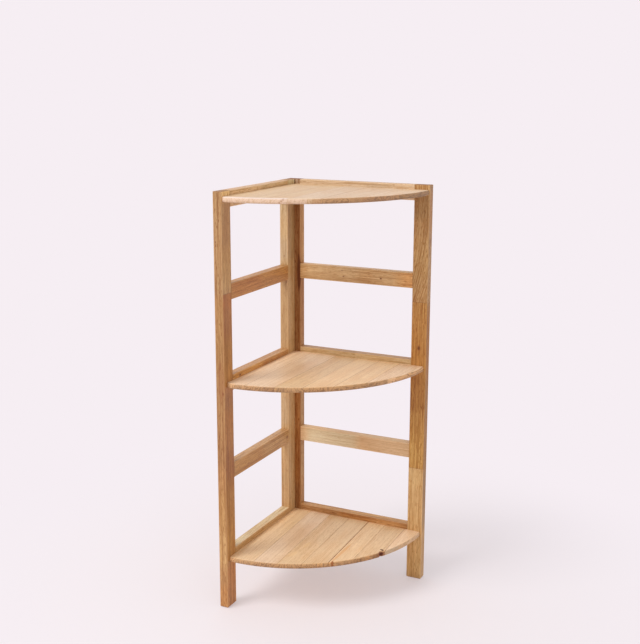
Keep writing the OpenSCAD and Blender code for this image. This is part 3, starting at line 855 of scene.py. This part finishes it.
# Stretches of a rim with another tint: their middle and reach from the left frame outwards, and the tint
RIM_SPANS = {
    ("bottom_shelf", 1): [(4, 8, (1.4, 1.4, 1.4))],
    ("bottom_shelf", 4): [(187, 4, (1.4, 1.4, 1.3))],
    ("bottom_shelf", 5): [(197, 8, (1.45, 1.4, 1.3))],
    ("bottom_shelf", 6): [
        (254, 2, (0.75, 0.68, 0.60)), (263, 3, (1.20, 1.15, 1.05)), (275, 4, (0.75, 0.66, 0.56)),
    ],
    ("bottom_shelf", 7): [(294, 8, (0.35, 0.35, 0.35))],
    ("top_shelf", 4): [(172, 5, (0.86, 0.80, 0.66)), (184, 8, (0.74, 0.60, 0.42))],
    ("middle_shelf", 1): [(6, 14, (1.25, 1.3, 1.35))],
    ("middle_shelf", 2): [(94, 14, (0.74, 0.68, 0.62))],
    ("middle_shelf", 3): [(116, 9, (0.76, 0.72, 0.68))],
    ("middle_shelf", 6): [(303, 16, (1.5, 1.55, 1.6)), (291, 5, (1.25, 1.4, 1.75))],
    ("top_shelf", 6): [(272, 25, (0.82, 0.71, 0.63)), (310, 12, (0.72, 0.66, 0.55))],
}
# Chips and rubbed corners of a rim: the spot, its reach and its depth
NOTCHES = {
    ("bottom_shelf", 6): [((281.5, -139.5), 4.0, 2.8)],
    ("middle_shelf", 1): [((0, -306.5), 4.5, 1.8)],
    ("top_shelf", 1): [((0, -315), 6.0, 2.6)],
}


class Rim:
    """Arc of a shelf's front edge, in the corner's frame."""

    def __init__(self, shelf):
        left, right = RIM_ENDS[shelf]
        chord = math.hypot(left, right)
        rise = RIM_FULLNESS * chord
        self.radius = ((chord / 2) ** 2 + rise ** 2) / (2 * rise)
        back = (self.radius - rise) / chord
        self.x = right / 2 - left * back
        self.y = -left / 2 + right * back

    def angle_at_seam(self, x, slope, inset):
        """Where the rim meets the seam that leaves the back edge at x and moves outwards by slope."""
        reach = (self.radius - inset) * math.hypot(1, slope)
        across = (x - self.x - slope * self.y) / reach
        return math.atan(slope) - math.acos(max(-1, min(1, across)))

    def angle_at_back(self, inset):
        """Where the rim meets the shelf's back edge, on the right frame."""
        return math.asin(-self.y / (self.radius - inset))

    def point(self, angle, inset):
        reach = self.radius - inset
        return self.x + reach * math.cos(angle), self.y + reach * math.sin(angle)


def rim_profile(thick):
    """Insets and heights from the lower face, round the rim, to a band on the upper face."""
    steps = [math.radians(90 * i / ROUND_STEPS) for i in range(ROUND_STEPS + 1)]
    lower = [(ROUND_LOWER * (1 - math.sin(a)), ROUND_LOWER * (1 - math.cos(a))) for a in steps]
    upper = [(ROUND_UPPER * (1 - math.cos(a)), thick - ROUND_UPPER * (1 - math.sin(a))) for a in steps]
    middle = [(0.0, thick * share) for share in UPRIGHT_LEVELS]
    return lower + middle + upper + [(ROUND_UPPER + EDGE_BAND, thick)]


def board_columns(rim, profile, x0, x1, slope, first, last):
    """Columns along a board's rim: whether each is a seam's bevel, and its angle at each level."""
    slope0 = 0.0 if first else slope
    starts = [rim.angle_at_seam(x0 + SEAM_BEVEL, slope0, inset) for inset, _ in profile]
    if last:
        ends = [rim.angle_at_back(inset) for inset, _ in profile]
    else:
        ends = [rim.angle_at_seam(x1 - SEAM_BEVEL, slope, inset) for inset, _ in profile]
    count = max(4, round((ends[0] - starts[0]) * rim.radius / RIM_STEP))
    columns = [(True, [rim.angle_at_seam(x0, slope0, inset + SEAM_BEVEL) for inset, _ in profile])]
    for i in range(count + 1):
        share = i / count
        columns.append((False, [a + (b - a) * share for a, b in zip(starts, ends)]))
    if not last:
        columns.append((True, [rim.angle_at_seam(x1, slope, inset + SEAM_BEVEL) for inset, _ in profile]))
    return columns


def wear(x, y, z, inset, notches, seed):
    """How far a rim vertex is worn back. Those behind the rounding stay where they are."""
    if inset > ROUND_UPPER + 0.1:
        return 0.0
    rough = noise.noise(Vector((x, y, z)) * SPOTS_PER_MM + Vector((seed, 0, 0)))
    hollow = noise.noise(Vector((x, y, z * 0.3)) * HOLLOWS_PER_MM + Vector((0, seed, 0)))
    depth = EVEN_WEAR + ROUGH_WEAR * rough + HOLLOW_WEAR * max(0.0, hollow)
    for (notch_x, notch_y), reach, deep in notches:
        away = math.hypot(x - notch_x, y - notch_y) / reach
        depth += deep * max(0.0, 1 - away ** 2)
    return depth


def rim_grid(shape, rim, x0, x1, slope, first, last, thick, top, notches, seed):
    """Columns of vertices round a board's rim, joined by smooth faces."""
    profile = rim_profile(thick)
    half = thick / 2
    grid = []
    for bevelled, angles in board_columns(rim, profile, x0, x1, slope, first, last):
        column = []
        for (inset, height), angle in zip(profile, angles):
            if bevelled:
                inset += SEAM_BEVEL
                height = half + (height - half) * (1 - SEAM_BEVEL / half)
            x, y = rim.point(angle, inset)
            x, y = rim.point(angle, inset + wear(x, y, height, inset, notches, seed))
            column.append(shape.verts.new((x, min(y, 0.0), top - thick + height)))
        grid.append(column)
    for left, right in zip(grid, grid[1:]):
        for k in range(len(profile) - 1):
            face = shape.faces.new((left[k], right[k], right[k + 1], left[k + 1]))
            face.smooth = True
    return grid


def close_board(shape, grid, x0, x1, last, thick, top):
    """The back end, sides, upper and lower face of a board, round the grid of its rim."""
    low, low_in = top - thick + SEAM_BEVEL, top - thick
    high, high_in = top - SEAM_BEVEL, top

    def back_end(x, inner_x):
        """The four corners of one side's back end, from the side's lower corner to its upper one."""
        places = ((x, low), (inner_x, low_in), (inner_x, high_in), (x, high))
        return [shape.verts.new((place, 0, z)) for place, z in places]

    back0 = back_end(x0, x0 + SEAM_BEVEL)
    start, second = grid[0], grid[1]
    shape.faces.new(start + [back0[3], back0[0]])
    shape.faces.new((start[0], back0[0], back0[1], second[0]))
    shape.faces.new((start[-1], second[-1], back0[2], back0[3]))
    if last:
        end = grid[-1]
        shape.faces.new([back0[3], back0[2]] + end[::-1] + [back0[1], back0[0]])
        shape.faces.new([column[-1] for column in grid[1:]] + [back0[2]])
        shape.faces.new([column[0] for column in reversed(grid[1:])] + [back0[1]])
        return
    back1 = back_end(x1, x1 - SEAM_BEVEL)
    end, before = grid[-1], grid[-2]
    shape.faces.new(end[::-1] + [back1[0], back1[3]])
    shape.faces.new((end[0], before[0], back1[1], back1[0]))
    shape.faces.new((end[-1], back1[3], back1[2], before[-1]))
    shape.faces.new([column[-1] for column in grid[1:-1]] + [back1[2], back0[2]])
    shape.faces.new([column[0] for column in reversed(grid[1:-1])] + [back0[1], back1[1]])
    shape.faces.new(back0 + back1[::-1])


def board_mesh(name, rim, x0, x1, slope, first, last, thick, top, notches, seed):
    """One board: straight sides, a square back end and a rounded, slightly worn rim."""
    shape = bmesh.new()
    grid = rim_grid(shape, rim, x0, x1, slope, first, last, thick, top, notches, seed)
    close_board(shape, grid, x0, x1, last, thick, top)
    bmesh.ops.recalc_face_normals(shape, faces=shape.faces)
    bmesh.ops.scale(shape, vec=(MM, MM, MM), verts=shape.verts)
    bmesh.ops.translate(shape, vec=(corner.x, corner.y, 0), verts=shape.verts)
    mesh = bpy.data.meshes.new(name)
    shape.to_mesh(mesh)
    shape.free()
    return mesh


def make_board(shelf, number):
    """A worn board with its own wood, in the place of a CAD board."""
    node = f"{shelf}_board_{number}"
    key, key_before = (shelf, number), (shelf, number - 1)
    tone, bright, figure, end_share, end = BOARDS[shelf][number - 1]
    low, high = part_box(node)
    first, last = number == 1, number == len(BOARDS[shelf])
    rim = Rim(shelf)
    slope = SEAM_SLOPES[shelf]
    x0 = SEAMS[shelf][number - 1] + OPEN_SEAMS.get(key_before, 0.0)
    x1 = SEAMS[shelf][number] - OPEN_SEAMS.get(key, 0.0)
    seed = 100 + 10 * number + len(shelf)
    drop = LARGEST_DROP * random.Random(seed).random()
    thick = (high.z - low.z) / MM - drop
    top = high.z / MM - drop
    notches = NOTCHES.get(key, ())
    mesh = board_mesh(f"{node}_wood", rim, x0, x1, slope, first, last, thick, top, notches, seed)
    board = bpy.data.objects.new(f"{node}_wood", mesh)
    bpy.context.scene.collection.objects.link(board)
    wood = Wood(node, "Y", tone, seed, bright, figure, lean=slope, end_share=end_share, end=end)
    wood.rim_spans.extend(RIM_SPANS.get(key, ()))
    for spot, radius in RIM_KNOTS.get(key, ()):
        wood.knot(spot, radius, 1.0)
    for spot, reach, long_reach, share, stain in RIM_STREAKS.get(key, ()):
        wood.streak(spot, reach, long_reach, share, stain)
    if not first:
        wood.seam(x0, STRONG_SEAMS.get(key_before, PLAIN_SEAM))
    if not last:
        wood.seam(x1, STRONG_SEAMS.get(key, PLAIN_SEAM))
    wear_and_highlight_strength, wear_and_highlight_reach = RIM_WEAR_AND_HIGHLIGHTS[end]
    mesh.materials.append(wood.finish(wear_and_highlight_strength, rim, wear_and_highlight_reach))
    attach(board, "root")
    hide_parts(node)


def make_shelves():
    for shelf, boards in BOARDS.items():
        for number in range(1, len(boards) + 1):
            make_board(shelf, number)


# Studio, in metres: a pale floor that fades into the backdrop, and soft lamps
BACKDROP = srgb(246, 238, 243)
FLOOR = srgb(238, 231, 234)
FLOOR_ROUGHNESS = 0.7
FLOOR_REACH = 12.0
# From where to where the floor fades, and how much of the backdrop it shows at both
FADE_START, FADE_END = 0.20, 1.0
FADE_SHARES = (0.38, 1.0)
# Colour and strength of the light from all around
AMBIENT = (1.0, 0.985, 0.975, 1)
AMBIENT_STRENGTH = 0.68


def make_floor():
    mesh = bpy.data.meshes.new("floor")
    signs = ((-1, -1), (1, -1), (1, 1), (-1, 1))
    mesh.from_pydata([(x * FLOOR_REACH, y * FLOOR_REACH, 0) for x, y in signs], [], [(0, 1, 2, 3)])
    floor = bpy.data.objects.new("floor", mesh)
    bpy.context.scene.collection.objects.link(floor)
    material = bpy.data.materials.new("pale_floor")
    material.use_nodes = True
    g = Graph(material.node_tree)
    nodes = material.node_tree.nodes
    shader = nodes["Principled BSDF"]
    shader.inputs["Base Color"].default_value = FLOOR
    shader.inputs["Roughness"].default_value = FLOOR_ROUGHNESS
    glow = g.add("ShaderNodeEmission")
    glow.inputs["Color"].default_value = BACKDROP
    place = g.add("ShaderNodeTexCoord").outputs["Object"]
    away = g.vector("LENGTH", g.vector("MULTIPLY", place, (1, 1, 0)))
    far = g.remap(away, FADE_START, FADE_END, *FADE_SHARES)
    blend = g.add("ShaderNodeMixShader")
    g.join(g.math("MULTIPLY", far, g.looked_at()), blend.inputs[0])
    g.join(shader.outputs[0], blend.inputs[1])
    g.join(glow.outputs[0], blend.inputs[2])
    g.join(blend.outputs[0], nodes["Material Output"].inputs["Surface"])
    mesh.materials.append(material)


def make_world():
    world = bpy.data.worlds.new("studio")
    bpy.context.scene.world = world
    world.use_nodes = True
    g = Graph(world.node_tree)
    nodes = world.node_tree.nodes
    ambient = nodes["Background"]
    ambient.inputs["Color"].default_value = AMBIENT
    ambient.inputs["Strength"].default_value = AMBIENT_STRENGTH
    shown = g.add("ShaderNodeBackground")
    shown.inputs["Color"].default_value = BACKDROP
    shown.inputs["Strength"].default_value = 1.0
    blend = g.add("ShaderNodeMixShader")
    g.join(g.looked_at(), blend.inputs[0])
    g.join(ambient.outputs[0], blend.inputs[1])
    g.join(shown.outputs[0], blend.inputs[2])
    g.join(blend.outputs[0], nodes["World Output"].inputs["Surface"])


def make_lamp(name, place, aim, size, watts, colour=(1, 1, 1)):
    """A round lamp at a place, turned towards its aim."""
    data = bpy.data.lights.new(name, "AREA")
    data.shape = "DISK"
    data.size = size
    data.energy = watts
    data.color = colour
    lamp = bpy.data.objects.new(name, data)
    lamp.location = place
    lamp.rotation_euler = (Vector(aim) - Vector(place)).to_track_quat("-Z", "Y").to_euler()
    bpy.context.scene.collection.objects.link(lamp)


dress_sticks()
dress_fasteners()
make_shelves()
make_camera()
make_floor()
make_world()
make_lamp("key", (-2.6, -4.0, 5.2), (0, 0, 0.4), 3.4, 250)
make_lamp("fill", (4.0, -4.4, 1.6), (0, 0, 0.3), 3.0, 50, (1.0, 0.97, 0.86))

view = bpy.context.scene.view_settings
view.view_transform = "Standard"
